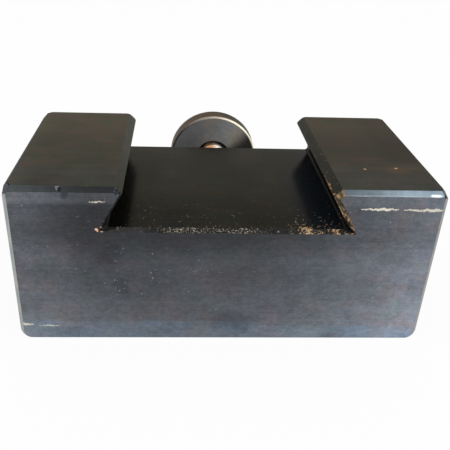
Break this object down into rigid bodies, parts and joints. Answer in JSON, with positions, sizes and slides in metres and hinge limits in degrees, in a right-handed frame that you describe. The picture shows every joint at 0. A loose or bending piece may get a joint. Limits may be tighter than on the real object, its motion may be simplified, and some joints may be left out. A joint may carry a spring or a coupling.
{
  "type": "quick change tool holder",
  "caption": "Dovetail tool holder for a lathe tool post, with a tool slot, clamp screws and a height stud carrying a flanged nut and a lock nut.",
  "frame": {"origin": "centre of the bounding box in X and Y, on the surface that the holder lies on", "axes": "+X along the tool slot, +Y from the holder's underside to its top along the height stud, +Z out of the dovetail"},
  "size_m": [0.0698, 0.0626, 0.0289],
  "materials": {
    "blued_steel": "black oxide over fine grinding lines, worn at the edges",
    "worn_bright_steel": "bright threaded steel with a tan tarnish",
    "turned_blackened_steel": "blackened, with turned rings and worn edges",
    "plain_steel": "plain steel",
    "black_screw_steel": "black oxide"
  },
  "bodies": {
    "holder": {"holder_body": "blued_steel", "height_stud": "worn_bright_steel"},
    "lock": {"lock_nut": "plain_steel"},
    "nut": {"height_nut": "turned_blackened_steel"},
    "screw_1": {"clamp_screw_1": "black_screw_steel"},
    "screw_2": {"clamp_screw_2": "black_screw_steel"},
    "screw_3": {"clamp_screw_3": "black_screw_steel"},
    "screw_4": {"clamp_screw_4": "black_screw_steel"}
  },
  "joints": [
    {"name": "height_travel", "type": "slide", "parent": "holder", "child": "lock", "axis": [0, 1, 0], "range_m": [-0.0064, 0.0046]},
    {"name": "height_nut_turn", "type": "hinge", "parent": "lock", "child": "nut", "pos_m": [0, 0.0126, 0.0162], "axis": [0, 1, 0], "range_deg": [-2520, 1800]},
    {"name": "clamp_screw_1_travel", "type": "slide", "parent": "holder", "child": "screw_1", "axis": [0, -1, 0], "range_m": [-0.008, 0.012]},
    {"name": "clamp_screw_2_travel", "type": "slide", "parent": "holder", "child": "screw_2", "axis": [0, -1, 0], "range_m": [-0.008, 0.012]},
    {"name": "clamp_screw_3_travel", "type": "slide", "parent": "holder", "child": "screw_3", "axis": [0, -1, 0], "range_m": [-0.008, 0.012]},
    {"name": "clamp_screw_4_travel", "type": "slide", "parent": "holder", "child": "screw_4", "axis": [0, -1, 0], "range_m": [-0.008, 0.012]}
  ],
  "couplings": [
    {"joint": "height_travel", "follows": "height_nut_turn", "m_per_rad": 0.00014437}
  ]
}
